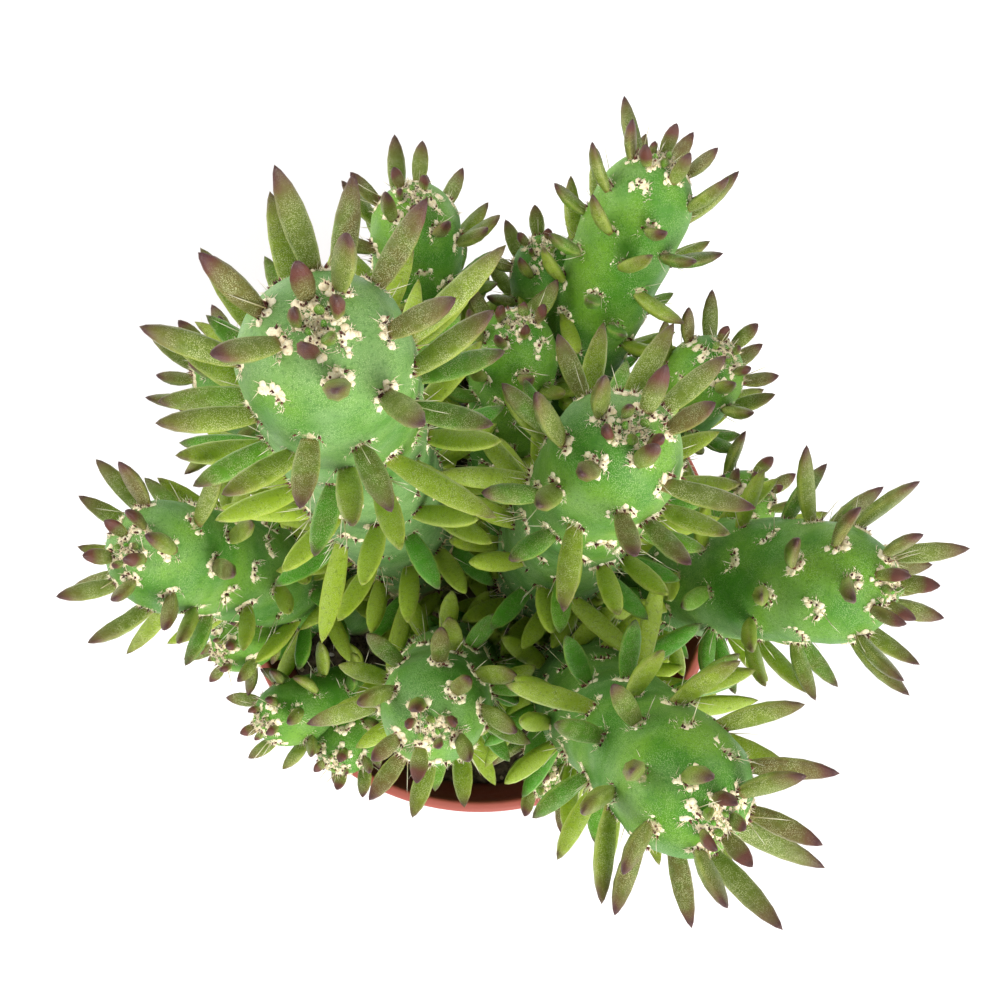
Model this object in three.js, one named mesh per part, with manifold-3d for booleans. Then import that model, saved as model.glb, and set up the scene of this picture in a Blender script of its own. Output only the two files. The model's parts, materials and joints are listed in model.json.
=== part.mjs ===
// A potted Eve's needle cactus: a plastic nursery pot, its soil and twelve leafy stems, some with a branch.
// Millimetres, +Z up. The origin is the middle of the pot's foot, on the surface it stands on.
import * as THREE from "three";
import { mergeVertices } from "three/addons/utils/BufferGeometryUtils.js";
import Module from "manifold-3d";

const wasm = await Module();
wasm.setup();

// Pot: a 12 cm nursery pot with a foot ring, a flared wall and a turned-out lip
const POT = {
  height: 108,
  rimRadius: 60,
  lipHeight: 13,
  lipStep: 3.4,
  footRadius: 42,
  footWidth: 6,
  footLift: 2,
  padRadius: 12,
  wall: 1.5,
  rimWall: 2.6,
  rimRound: 0.8,
  floor: 3.5,
  sides: 32,
};
const DRAIN = { count: 6, radius: 3.2, ring: 24, sides: 8 };

// Soil: it fills the pot with low lumps on top, and stops a clearance short of the wall and of the stems
const SOIL_TOP = 90;
const SOIL_SIDES = 18;
const SOIL_RINGS = [22, 42];
const SOIL_LUMP = 1.3;
const CLEARANCE = 0.3;
const HOLE_CLEARANCE = 0.35;
const BORE_TOP = 8;

// Stems: place on the soil, tip, slope of the tip from upright in x and y, radius of the head, leaf length
const ROOT_DEPTH = 24;
const FOOT_SHARE = 0.72;
const STEMS = [
  { name: "stem_tallest", foot: [-10, -2], tip: [-22, 27, 296], slope: [0.02, 0.15], head: 13.6, leaf: 18 },
  { name: "stem_centre", foot: [15, -6], tip: [28, 17, 252], slope: [0.2, 0.26], head: 12, leaf: 15.5 },
  { name: "stem_right", foot: [35, -3], tip: [82, -8, 203], slope: [0.95, -0.12], head: 12.4, leaf: 15 },
  { name: "stem_front_right", foot: [25, -27], tip: [43, -50, 240], slope: [0.4, -0.4], head: 12.3, leaf: 17 },
  { name: "stem_front", foot: [0, -26], tip: [-9, -36, 200], slope: [-0.03, -0.3], head: 11, leaf: 13 },
  { name: "stem_left", foot: [-33, -8], tip: [-71, 0, 192], slope: [-0.45, 0.02], head: 11.6, leaf: 14 },
  { name: "stem_back", foot: [-15, 27], tip: [-14, 79, 170], slope: [0, 0.45], head: 10, leaf: 12 },
  { name: "stem_back_right", foot: [14, 32], tip: [40, 85, 178], slope: [0.42, 0.9], head: 10.6, leaf: 12.5 },
  { name: "stem_middle_low", foot: [4, 15], tip: [9, 52, 163], slope: [0.06, 0.5], head: 9.4, leaf: 11 },
  { name: "stem_right_low", foot: [32, 18], tip: [55, 46, 160], slope: [0.4, 0.42], head: 8.6, leaf: 11 },
  { name: "stem_left_low", foot: [-32, 14], tip: [-60, 46, 160], slope: [-0.5, 0.45], head: 9.5, leaf: 13 },
  { name: "stem_front_low", foot: [-21, -29], tip: [-51, -37, 133], slope: [-0.9, -0.3], head: 7.2, leaf: 8.5 },
];

// Branches: the stem each grows from and how far along it, then as the stems
const BRANCHES = [
  { on: "stem_back_right", at: 0.35, tip: [15, 72, 150], slope: [-0.1, 0.4], head: 8.5, leaf: 10 },
  { on: "stem_right", at: 0.4, tip: [65, 17, 148], slope: [0.5, 0.4], head: 8, leaf: 11 },
  { on: "stem_left", at: 0.35, tip: [-60, -21, 139], slope: [-0.7, -0.45], head: 7.6, leaf: 9 },
  { on: "stem_front_right", at: 0.25, tip: [17, -53, 134], slope: [-0.1, -0.6], head: 7.6, leaf: 11 },
  { on: "stem_front_low", at: 0.3, tip: [-34, -47, 127], slope: [-0.3, -0.7], head: 6.8, leaf: 8.5 },
];
const STEM_SIDES = 9;
const DOME = 1.3;
const DOME_RINGS = [32, 62];
const RING_STEP = 26;
const SWELL_UNTIL = 0.5;
const TIP_HANDLE = 0.5;

// Leaves: a golden-angle spiral down from each tip. A leaf's share of the skin grows from a few mm² at the tip
// to one that goes with the radius of the head.
const GOLDEN_ANGLE = 2.399963;
const FIRST_CELL = 3;
const CELL_GROWTH = 1.35;
const CELL_TO_HEAD = 8.3;
const HALF_GROWN = 7;
const GROWN_OVER = 2.6;
const SIZE_SPREAD = 0.5;
const ANGLE_SPREAD = 0.3;
const TWIST_SPREAD = 0.8;
const UPRIGHT_DEPTH = 7;
const LEAF_RISE = 27;
const APEX_RISE = 50;
const RISE_SPREAD = 42;
const LEAF_BREADTH = 2.45;
const BREADTH_OVER = 5;
const LEAF_DEPTH = 0.95;
const LEAF_BEND = 0.13;
const LEAF_ROOT = 2.4;
const LEAF_TAPER = 0.75;
const LEAF_NECK = 0.5;
const LEAF_FORM = [[0.34, 0.96], [0.72, 0.78]];
const PLAIN_FORM = [[0.48, 1]];
const HEAD_SHARE = 2.35;
const SOLID_EVERY = 2;
const PLAIN_LEAF = 10;
const SMALLEST_LEAF = 3.4;
const BARE_FOOT = 13;
const BARE_CROTCH = 4;
const SHED_HEAD = 0.2;
const SHED_SHARE = 0.22;
const SHED_FROM = 30;
const SHED_OVER = 60;

// Spines: a few pale needles out of the leaf axils
const SPINE_EVERY = 12;
const SPINE_RADIUS = 0.35;
const SPINE_LENGTH = 7;
const SPINE_ROOT = 1.5;
const SPINE_RISE = 0.9;
const SPINE_SPREAD = 1.2;
const AXIL = 2.6;

// Room that a leaf keeps from stems, leaves, pot and soil, and the ways it may turn to find it
const LEAF_GAP = 0.5;
const RIM_GAP = 1;
const SOIL_GAP = 2.5;
const STEEPEST = 88;
const AXIS_STEP = 5;
const PROBES = [0.15, 0.32, 0.5, 0.68, 0.85, 1];
const SHORTER = [1, 0.8, 0.6];
const RISES = [0, 16, 32, 48];
const TURNS = [0, 20, -20, 42, -42];
const FREE_FROM = 0.3;
const GRID = 6;

const MATERIALS = {
  pot: new THREE.MeshStandardMaterial({ color: 0xb5624f, roughness: 0.55, metalness: 0 }),
  soil: new THREE.MeshStandardMaterial({ color: 0x4a3d31, roughness: 1, metalness: 0 }),
  plant: new THREE.MeshStandardMaterial({ color: 0x7d9a4a, roughness: 0.6, metalness: 0 }),
};

const radians = THREE.MathUtils.degToRad;
const vector = (x, y, z) => new THREE.Vector3(x, y, z);

// A draw from 0 to 1 that depends only on the three whole numbers
function draw(a, b, c) {
  let x = (a * 7919 + b * 104729 + c * 1299709 + 12345) % 2147483647;
  x = (x * 16807) % 2147483647;
  x = (x * 16807) % 2147483647;
  return x / 2147483647;
}

// The closed solid of a geometry, whose seams are merged and whose faces of no area are dropped
function solid(geometry) {
  geometry.deleteAttribute("normal");
  geometry.deleteAttribute("uv");
  const merged = mergeVertices(geometry, 1e-4);
  const corners = merged.index.array;
  const faces = [];
  for (let i = 0; i < corners.length; i += 3) {
    const [a, b, c] = [corners[i], corners[i + 1], corners[i + 2]];
    if (a !== b && b !== c && c !== a) faces.push(a, b, c);
  }
  const mesh = new wasm.Mesh({
    numProp: 3,
    vertProperties: merged.attributes.position.array,
    triVerts: new Uint32Array(faces),
  });
  return new wasm.Manifold(mesh);
}

// The body with the hollows that its pieces seal filled, and loose scraps dropped
function whole(body) {
  return body.decompose().reduce((best, piece) => (piece.volume() > best.volume() ? piece : best));
}

function named(name, body, material) {
  const { vertProperties, triVerts } = body.getMesh();
  const geometry = new THREE.BufferGeometry();
  geometry.setAttribute("position", new THREE.BufferAttribute(vertProperties, 3));
  geometry.setIndex(new THREE.BufferAttribute(triVerts, 1));
  geometry.computeVertexNormals();
  const mesh = new THREE.Mesh(geometry, material);
  mesh.name = name;
  return mesh;
}

// A turned shape about its own Y axis, from [radius, height] pairs
function turned(profile, sides) {
  return new THREE.LatheGeometry(profile.map(([r, y]) => new THREE.Vector2(r, y)), sides);
}

// Radius of the pot's outer wall at a height below the lip
function wallRadius(z) {
  const top = POT.rimRadius - POT.lipStep;
  return POT.footRadius + (top - POT.footRadius) * (z / (POT.height - POT.lipHeight));
}

function pot() {
  const { height, rimRadius, lipHeight, wall, rimWall, rimRound } = POT;
  const { footRadius, footWidth, footLift, padRadius, floor } = POT;
  const under = height - lipHeight;
  const profile = [
    [0, 0],
    [padRadius, 0],
    [padRadius + footLift, footLift],
    [footRadius - footWidth - footLift, footLift],
    [footRadius - footWidth, 0],
    [footRadius, 0],
    [wallRadius(under), under],
    [rimRadius - rimRound / 2, under],
    [rimRadius, height - rimRound],
    [rimRadius - rimRound, height],
    [rimRadius - rimWall, height - rimRound],
    [wallRadius(under) - wall, under - 2],
    [wallRadius(floor) - wall, floor],
    [0, floor],
  ];
  let body = solid(turned(profile, POT.sides).rotateX(Math.PI / 2));
  for (let i = 0; i < DRAIN.count; i++) {
    const angle = (i * 2 * Math.PI) / DRAIN.count;
    const drill = new THREE.CylinderGeometry(DRAIN.radius, DRAIN.radius, 4 * floor, DRAIN.sides);
    drill.rotateX(Math.PI / 2).translate(DRAIN.ring * Math.cos(angle), DRAIN.ring * Math.sin(angle), 0);
    body = body.subtract(solid(drill));
  }
  return body;
}

// Height of the soil's low lumps at a place
function lump(x, y) {
  return SOIL_LUMP * (Math.sin(x / 6.1 + 0.7) * Math.cos(y / 7.3) + 0.6 * Math.sin((x + 2 * y) / 9.7));
}

function soil(plants) {
  const bottom = POT.floor + CLEARANCE;
  const reach = (z) => wallRadius(z) - POT.wall - 2 * CLEARANCE;
  const edge = [reach(SOIL_TOP), SOIL_TOP];
  const rings = SOIL_RINGS.map((r) => [r, SOIL_TOP]).reverse();
  const profile = [[0, bottom], [reach(bottom), bottom], edge, ...rings, [0, SOIL_TOP]];
  const shape = turned(profile, SOIL_SIDES).rotateX(Math.PI / 2);
  const places = shape.attributes.position;
  for (let i = 0; i < places.count; i++) {
    const [x, y, z] = [places.getX(i), places.getY(i), places.getZ(i)];
    if (z > SOIL_TOP - 1) places.setZ(i, z + lump(x, y));
  }
  let body = solid(shape);
  for (const plant of plants) {
    if (plant.on) continue;
    const radius = plant.base + HOLE_CLEARANCE;
    const bottom = -ROOT_DEPTH - CLEARANCE;
    const bore = [[0, bottom], [radius, bottom], [radius, 0], [radius, BORE_TOP], [0, BORE_TOP]];
    body = body.subtract(bent(plant, bore));
  }
  return body;
}

// A stem's centreline is a curve of three points. Below its foot it goes straight down into the soil.
function grow(plant, all) {
  const tip = vector(...plant.tip);
  const parent = all.find((other) => other.name === plant.on);
  plant.parent = parent;
  plant.start = parent ? centre(parent, plant.at * parent.length) : vector(...plant.foot, SOIL_TOP);
  plant.length = plant.start.distanceTo(tip);
  const slope = vector(...plant.slope, 1).normalize();
  plant.handle = tip.clone().addScaledVector(slope, -TIP_HANDLE * plant.length);
  plant.end = tip;
  plant.base = FOOT_SHARE * plant.head;
  return plant;
}

function centre(plant, along) {
  if (along < 0) return plant.start.clone().add(vector(0, 0, along));
  const u = along / plant.length;
  const point = plant.start.clone().multiplyScalar((1 - u) * (1 - u));
  point.addScaledVector(plant.handle, 2 * u * (1 - u));
  return point.addScaledVector(plant.end, u * u);
}

function heading(plant, along) {
  if (along < 0) return vector(0, 0, 1);
  const u = along / plant.length;
  const out = plant.handle.clone().sub(plant.start).multiplyScalar(1 - u);
  out.addScaledVector(plant.end, u).addScaledVector(plant.handle, -u);
  return out.normalize();
}

// The three directions at a point of a stem: across, along it, and across again
function frameAt(plant, along) {
  const up = heading(plant, along);
  const across = vector(1, 0, 0).addScaledVector(up, -up.x).normalize();
  return [across, up, across.clone().cross(up)];
}

function radiusAt(plant, along) {
  const share = Math.min(1, Math.max(0, along) / (SWELL_UNTIL * plant.length));
  const cylinder = plant.base + (plant.head - plant.base) * share;
  const below = (plant.length - along) / (DOME * plant.head);
  return below >= 1 ? cylinder : cylinder * Math.sqrt(Math.max(0, 1 - (1 - below) * (1 - below)));
}

// A turned shape bent along a stem's centreline
function bent(plant, profile) {
  const shape = turned(profile, STEM_SIDES);
  const places = shape.attributes.position;
  for (let i = 0; i < places.count; i++) {
    const along = places.getY(i);
    const [across, , other] = frameAt(plant, along);
    const point = centre(plant, along);
    point.addScaledVector(across, places.getX(i)).addScaledVector(other, places.getZ(i));
    places.setXYZ(i, point.x, point.y, point.z);
  }
  return solid(shape);
}

function stemBody(plant) {
  const bottom = plant.parent ? 0 : -ROOT_DEPTH;
  const shoulder = plant.length - DOME * plant.head;
  const steps = Math.max(2, Math.round(shoulder / RING_STEP));
  const profile = [[0, bottom], [plant.base, bottom]];
  for (let k = plant.parent ? 1 : 0; k <= steps; k++) {
    const along = (shoulder * k) / steps;
    profile.push([radiusAt(plant, along), along]);
  }
  for (const angle of DOME_RINGS) {
    const rise = DOME * plant.head * Math.sin(radians(angle));
    profile.push([plant.head * Math.cos(radians(angle)), shoulder + rise]);
  }
  profile.push([0, plant.length]);
  return bent(plant, profile);
}

// A leaf's middle line: it starts straight and bends a little towards the stem's tip
function leafPoint(leaf, share) {
  const point = leaf.root.clone().addScaledVector(leaf.way, share * leaf.length);
  return point.addScaledVector(leaf.up, LEAF_BEND * share * share * leaf.length);
}

// Half the breadth of a leaf, which young leaves reach long before their length
function leafBreadth(length) {
  return LEAF_BREADTH * (1 - Math.exp(-(length + 0.5) / BREADTH_OVER));
}

function leafRadius(leaf, share) {
  return leafBreadth(leaf.length) * (1 - LEAF_TAPER * share * share);
}

// Every leaf of a stem, from the tip down, before it is turned to find room. Old stems have shed some.
function leafPlan(plant, number) {
  const plans = [];
  const lowest = plant.parent ? plant.parent.base + BARE_CROTCH : BARE_FOOT;
  let skin = 0;
  for (let i = 0; ; i++) {
    const spread = (width, kind) => width * (draw(number, i, kind) - 0.5);
    skin += Math.min(CELL_TO_HEAD * plant.head, FIRST_CELL * CELL_GROWTH ** i);
    const depth = skin / (2 * Math.PI * plant.head);
    const along = plant.length - depth;
    if (along < lowest) break;
    const angle = i * GOLDEN_ANGLE + number + spread(ANGLE_SPREAD, 4);
    const twist = spread(TWIST_SPREAD, 7);
    const rise = LEAF_RISE + APEX_RISE * Math.exp(-depth / UPRIGHT_DEPTH) + spread(RISE_SPREAD, 1);
    const size = (1 + spread(SIZE_SPREAD, 2)) / (1 + Math.exp((HALF_GROWN - i) / GROWN_OVER));
    const old = Math.min(1, Math.max(0, (depth - SHED_FROM) / SHED_OVER));
    const shed = i > HALF_GROWN && draw(number, i, 8) < SHED_HEAD + SHED_SHARE * old;
    const { head, leaf } = plant;
    plans.push({ number, i, head, depth, along, angle, twist, rise, shed, length: leaf * size });
  }
  return plans;
}

function turnLeaf(plant, plan, rise, turn, shorter) {
  const [across, up, other] = frameAt(plant, plan.along);
  const spoke = (angle) => {
    const [cosine, sine] = [Math.cos(angle), Math.sin(angle)];
    return across.clone().multiplyScalar(cosine).addScaledVector(other, sine);
  };
  const out = spoke(plan.angle);
  const root = centre(plant, plan.along).addScaledVector(out, radiusAt(plant, plan.along));
  const way = spoke(plan.angle + plan.twist + radians(turn)).multiplyScalar(Math.cos(radians(rise)));
  way.addScaledVector(up, Math.sin(radians(rise)));
  return { ...plan, root, way, up, out, length: plan.length * shorter };
}

// What leaves have taken so far, in a grid of small boxes
const taken = new Map();
const cellOf = (value) => Math.floor(value / GRID);
const cellKey = (x, y, z) => (x * 512 + y) * 512 + z;

function nearTaken(point, radius) {
  const [x, y, z] = [cellOf(point.x), cellOf(point.y), cellOf(point.z)];
  for (let dx = -1; dx <= 1; dx++)
    for (let dy = -1; dy <= 1; dy++)
      for (let dz = -1; dz <= 1; dz++)
        for (const ball of taken.get(cellKey(x + dx, y + dy, z + dz)) ?? [])
          if (ball.point.distanceTo(point) < ball.radius + radius + LEAF_GAP) return true;
  return false;
}

function take(leaf) {
  for (const share of PROBES) {
    const point = leafPoint(leaf, share);
    const key = cellKey(cellOf(point.x), cellOf(point.y), cellOf(point.z));
    taken.set(key, [...(taken.get(key) ?? []), { point, radius: leafRadius(leaf, share) }]);
  }
}

// Whether a point with its radius meets another stem, the pot or the soil
function meetsOther(plant, plants, point, radius) {
  const ring = Math.hypot(point.x, point.y);
  if (point.z < SOIL_TOP + SOIL_GAP + radius) return true;
  const room = radius + RIM_GAP;
  const byRim = ring > POT.rimRadius - POT.rimWall - room && ring < POT.rimRadius + room;
  if (byRim && point.z < POT.height + room) return true;
  for (const other of plants) {
    if (other === plant) continue;
    const steps = Math.ceil(other.length / AXIS_STEP);
    for (let k = 0; k <= steps; k++) {
      const along = (other.length * k) / steps;
      const reach = radiusAt(other, Math.min(along, other.length - other.head / 2)) + radius + LEAF_GAP;
      if (centre(other, along).distanceTo(point) < reach) return true;
    }
  }
  return false;
}

// The first way that a leaf can turn with no other thing in its way, or nothing
function placeLeaf(plant, plants, plan) {
  for (const shorter of SHORTER)
    for (const rise of RISES)
      for (const turn of TURNS) {
        const leaf = turnLeaf(plant, plan, Math.min(STEEPEST, plan.rise + rise), turn, shorter);
        const clear = PROBES.every((share) => {
          const point = leafPoint(leaf, share);
          const radius = leafRadius(leaf, share);
          if (share > FREE_FROM && nearTaken(point, radius)) return false;
          return !meetsOther(plant, plants, point, radius);
        });
        if (clear) return leaf;
      }
  return null;
}

// The heads' leaves are all in the solid. Further down, where they hide each other, it holds a share of them.
function inSolid(plan) {
  if (plan.shed || plan.length < SMALLEST_LEAF) return false;
  return plan.depth < HEAD_SHARE * plan.head || plan.i % SOLID_EVERY === 0;
}

// A fleshy leaf with three sides, flat above and keeled below, with its root in the stem
function leafBody(leaf) {
  const breadth = leafBreadth(leaf.length);
  const root = Math.min(LEAF_ROOT, 0.5 + 0.25 * leaf.length);
  const form = leaf.length > PLAIN_LEAF && leaf.depth < HEAD_SHARE * leaf.head ? LEAF_FORM : PLAIN_FORM;
  const profile = [[0, -root], [LEAF_NECK * breadth, -root]];
  for (const [share, width] of form) profile.push([width * breadth, share * leaf.length]);
  profile.push([0, leaf.length]);
  const shape = turned(profile, 3);
  const side = leaf.way.clone().cross(leaf.up).normalize();
  const above = side.clone().cross(leaf.way);
  const places = shape.attributes.position;
  for (let i = 0; i < places.count; i++) {
    const share = places.getY(i) / leaf.length;
    const point = leaf.root.clone().addScaledVector(leaf.way, places.getY(i));
    if (share > 0) point.addScaledVector(leaf.up, LEAF_BEND * share * share * leaf.length);
    point.addScaledVector(side, -places.getX(i)).addScaledVector(above, -LEAF_DEPTH * places.getZ(i));
    places.setXYZ(i, point.x, point.y, point.z);
  }
  return solid(shape);
}

// A pale needle out of the axil just above a leaf, or nothing where it would meet something
function spineBody(leaf, plant, plants) {
  const lean = draw(leaf.number, leaf.i, 3) - 0.5;
  const side = leaf.out.clone().cross(leaf.up).multiplyScalar(SPINE_SPREAD * lean);
  const way = leaf.out.clone().addScaledVector(leaf.up, SPINE_RISE).add(side).normalize();
  const axil = leaf.root.clone().addScaledVector(leaf.up, AXIL);
  for (const share of PROBES) {
    const point = axil.clone().addScaledVector(way, share * SPINE_LENGTH);
    if (meetsOther(plant, plants, point, SPINE_RADIUS) || nearTaken(point, SPINE_RADIUS)) return null;
  }
  const root = axil.addScaledVector(way, -SPINE_ROOT);
  const height = SPINE_LENGTH + SPINE_ROOT;
  const shape = new THREE.ConeGeometry(SPINE_RADIUS, height, 3).translate(0, height / 2, 0);
  shape.applyQuaternion(new THREE.Quaternion().setFromUnitVectors(vector(0, 1, 0), way));
  shape.translate(root.x, root.y, root.z);
  return solid(shape);
}

const plants = [];
for (const plant of [...STEMS, ...BRANCHES]) plants.push(grow({ ...plant }, plants));

const bodies = new Map();
plants.forEach((plant, number) => {
  let body = stemBody(plant);
  for (const plan of leafPlan(plant, number).filter(inSolid)) {
    const leaf = placeLeaf(plant, plants, plan);
    if (!leaf) continue;
    const spine = plan.i % SPINE_EVERY === 0 && spineBody(leaf, plant, plants);
    take(leaf);
    body = body.add(leafBody(leaf));
    if (spine) body = body.add(spine);
  }
  const name = plant.on ?? plant.name;
  bodies.set(name, bodies.has(name) ? bodies.get(name).add(body) : body);
});

const group = new THREE.Group();
group.add(named("pot", pot(), MATERIALS.pot));
group.add(named("soil", soil(plants), MATERIALS.soil));
for (const [name, body] of bodies) group.add(named(name, whole(body), MATERIALS.plant));

export default group;
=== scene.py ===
import json
import math

import bmesh
import bpy
import numpy as np
from mathutils import Matrix

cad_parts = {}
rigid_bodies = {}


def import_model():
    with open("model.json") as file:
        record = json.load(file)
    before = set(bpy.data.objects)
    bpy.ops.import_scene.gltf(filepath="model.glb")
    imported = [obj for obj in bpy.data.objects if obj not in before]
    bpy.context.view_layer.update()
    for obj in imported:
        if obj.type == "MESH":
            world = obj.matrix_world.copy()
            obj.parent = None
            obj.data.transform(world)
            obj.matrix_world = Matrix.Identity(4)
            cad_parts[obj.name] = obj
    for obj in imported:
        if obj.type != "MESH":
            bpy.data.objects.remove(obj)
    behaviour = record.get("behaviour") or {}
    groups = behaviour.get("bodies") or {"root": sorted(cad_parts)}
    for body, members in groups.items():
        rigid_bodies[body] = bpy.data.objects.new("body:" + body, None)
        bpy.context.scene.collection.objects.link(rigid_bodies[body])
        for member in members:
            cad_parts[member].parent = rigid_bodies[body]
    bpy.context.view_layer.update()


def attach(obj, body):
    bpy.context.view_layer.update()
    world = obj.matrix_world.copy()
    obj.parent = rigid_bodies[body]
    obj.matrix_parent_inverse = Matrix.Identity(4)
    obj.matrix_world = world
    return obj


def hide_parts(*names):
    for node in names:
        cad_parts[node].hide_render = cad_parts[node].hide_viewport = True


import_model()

MM = 0.001

# Camera: nearly straight down, a little from the front
CAMERA_PLACE = (0.005, -0.0218, 0.5578)
CAMERA_TILT = math.radians(5)
CAMERA_LENS = 64.8

# Pot and soil, in mm
POT_HEIGHT = 108
RIM_RADIUS = 60
LIP_HEIGHT = 13
LIP_STEP = 3.4
FOOT_RADIUS = 42
FOOT_WIDTH = 6
FOOT_LIFT = 2
PAD_RADIUS = 12
WALL = 1.5
RIM_WALL = 2.6
FLOOR = 3.5
DRAINS = 6
DRAIN_RADIUS = 3.2
DRAIN_RING = 24
SOIL_TOP = 90
SOIL_LUMP = 1.3
ROOT_DEPTH = 24

# Stems as in the part: foot, tip, slope of the tip from upright, radius of the head and leaf length in mm,
# and the share of the skin with a pale waxy bloom
STEM_COLUMNS = ("name", "foot", "tip", "slope", "head", "leaf", "bloom")
STEMS = [
    ("stem_tallest", (-10, -2), (-22, 27, 296), (0.02, 0.15), 13.6, 18, 0.7),
    ("stem_centre", (15, -6), (28, 17, 252), (0.2, 0.26), 12, 15.5, 0.5),
    ("stem_right", (35, -3), (82, -8, 203), (0.95, -0.12), 12.4, 15, 0.4),
    ("stem_front_right", (25, -27), (43, -50, 240), (0.4, -0.4), 12.3, 17, 0.35),
    ("stem_front", (0, -26), (-9, -36, 200), (-0.03, -0.3), 11, 13, 0.55),
    ("stem_left", (-33, -8), (-71, 0, 192), (-0.45, 0.02), 11.6, 14, 0.4),
    ("stem_back", (-15, 27), (-14, 79, 170), (0, 0.45), 10, 12, 0.25),
    ("stem_back_right", (14, 32), (40, 85, 178), (0.42, 0.9), 10.6, 12.5, 0.3),
    ("stem_middle_low", (4, 15), (9, 52, 163), (0.06, 0.5), 9.4, 11, 0),
    ("stem_right_low", (32, 18), (55, 46, 160), (0.4, 0.42), 8.6, 11, 0.1),
    ("stem_left_low", (-32, 14), (-60, 46, 160), (-0.5, 0.45), 9.5, 13, 0.4),
    ("stem_front_low", (-21, -29), (-51, -37, 133), (-0.9, -0.3), 7.2, 8.5, 0.2),
]

# Branches: the stem each grows from and how far along it, then as the stems
BRANCH_COLUMNS = ("on", "at", "tip", "slope", "head", "leaf", "bloom")
BRANCHES = [
    ("stem_back_right", 0.35, (15, 72, 150), (-0.1, 0.4), 8.5, 10, 0.1),
    ("stem_right", 0.4, (65, 17, 148), (0.5, 0.4), 8, 11, 0.1),
    ("stem_left", 0.35, (-60, -21, 139), (-0.7, -0.45), 7.6, 9, 0.2),
    ("stem_front_right", 0.25, (17, -53, 134), (-0.1, -0.6), 7.6, 11, 0.1),
    ("stem_front_low", 0.3, (-34, -47, 127), (-0.3, -0.7), 6.8, 8.5, 0.1),
]
FOOT_SHARE = 0.72
DOME = 1.3
SWELL_UNTIL = 0.5
TIP_HANDLE = 0.5

# Leaves: a golden-angle spiral down from each tip, as in the part
GOLDEN_ANGLE = 2.399963
FIRST_CELL = 3
CELL_GROWTH = 1.35
CELL_TO_HEAD = 8.3
HALF_GROWN = 7
GROWN_OVER = 2.6
SIZE_SPREAD = 0.5
ANGLE_SPREAD = 0.3
TWIST_SPREAD = 0.8
UPRIGHT_DEPTH = 7
LEAF_RISE = 27
APEX_RISE = 50
RISE_SPREAD = 42
LEAF_BREADTH = 2.45
BREADTH_OVER = 5
LEAF_TAPER = 0.75
LEAF_BEND = 0.13
HEAD_SHARE = 2.35
SOLID_EVERY = 2
SMALLEST_LEAF = 3.4
BARE_FOOT = 13
BARE_CROTCH = 4
SHED_HEAD = 0.2
SHED_SHARE = 0.22
SHED_FROM = 30
SHED_OVER = 60
SPINE_EVERY = 12
SPINE_LENGTH = 7
SPINE_RISE = 0.9
SPINE_SPREAD = 1.2
AXIL = 2.6

# Room that a leaf keeps, and the ways it may turn to find it, as in the part
LEAF_GAP = 0.5
RIM_GAP = 1
SOIL_GAP = 2.5
STEEPEST = 88
AXIS_STEP = 5
PROBES = (0.15, 0.32, 0.5, 0.68, 0.85, 1)
SHORTER = (1, 0.8, 0.6)
RISES = (0, 16, 32, 48)
TURNS = (0, 20, -20, 42, -42)
FREE_FROM = 0.3
GRID = 6

# Skin
SKIN_SIDES = 64
SKIN_STEP = 1.4
DOME_STEPS = 16
TUBERCLE = 0.75

# Wool round a leaf's foot: the counts near a head and further down, and the depths, in mm
NEAR_HEAD = 45
OLD_WOOL = 140
TUFTS = (14, 7)
HAIRS = (74, 28)
LONG_HAIR_EVERY = 9
SCALES = 5

# Fine needles and bristles: half-breadths and lengths, in mm
NEEDLE_BREADTH = 0.12
NEEDLE_LENGTHS = (4.5, 9)
BRISTLE_BREADTH = 0.06
BRISTLE_LENGTHS = (1.8, 3.2)
BRISTLES = 2
LONG_SPINE_BREADTH = 0.14

# Pot and soil in detail
POT_SIDES = 144
CRUMB_DENSITY = 2.7e5
CRUMB_SIZES = (0.35, 1.35)
CRUMB_DEPTH = 6


def srgb(red, green, blue):
    """A colour given in 0 to 255 steps, as the light values that shaders take."""
    shares = (red / 255, green / 255, blue / 255)
    return tuple(c / 12.92 if c <= 0.04045 else ((c + 0.055) / 1.055) ** 2.4 for c in shares) + (1.0,)


def draw(a, b, c):
    """A draw from 0 to 1 that depends only on the three whole numbers."""
    x = (a * 7919 + b * 104729 + c * 1299709 + 12345) % 2147483647
    x = (x * 16807) % 2147483647
    x = (x * 16807) % 2147483647
    return x / 2147483647


def unit(vector):
    return vector / np.linalg.norm(vector)


class Value:
    """A node's output that can be used in expressions. Numbers go to Math nodes, vectors to Vector Math."""

    def __init__(self, tree, socket, is_vector=False):
        self.tree, self.socket, self.is_vector = tree, socket, is_vector

    def _pair(self, operation, left, right):
        vectors = any(isinstance(side, Value) and side.is_vector for side in (left, right))
        if not vectors:
            return self.tree.node("ShaderNodeMath", {0: left, 1: right}, operation=operation)
        numbers = [s for s in (left, right) if not (isinstance(s, Value) and s.is_vector)]
        if operation == "MULTIPLY" and numbers and not isinstance(numbers[0], tuple):
            vector = right if numbers[0] is left else left
            made = {0: vector, "Scale": numbers[0]}
            return self.tree.node("ShaderNodeVectorMath", made, out="Vector", operation="SCALE")
        return self.tree.node("ShaderNodeVectorMath", {0: left, 1: right}, out="Vector", operation=operation)

    def __add__(self, other):
        return self._pair("ADD", self, other)

    def __radd__(self, other):
        return self._pair("ADD", other, self)

    def __sub__(self, other):
        return self._pair("SUBTRACT", self, other)

    def __mul__(self, other):
        return self._pair("MULTIPLY", self, other)

    def __rmul__(self, other):
        return self._pair("MULTIPLY", other, self)

    def __abs__(self):
        return self.tree.node("ShaderNodeMath", {0: self}, operation="ABSOLUTE")


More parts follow.
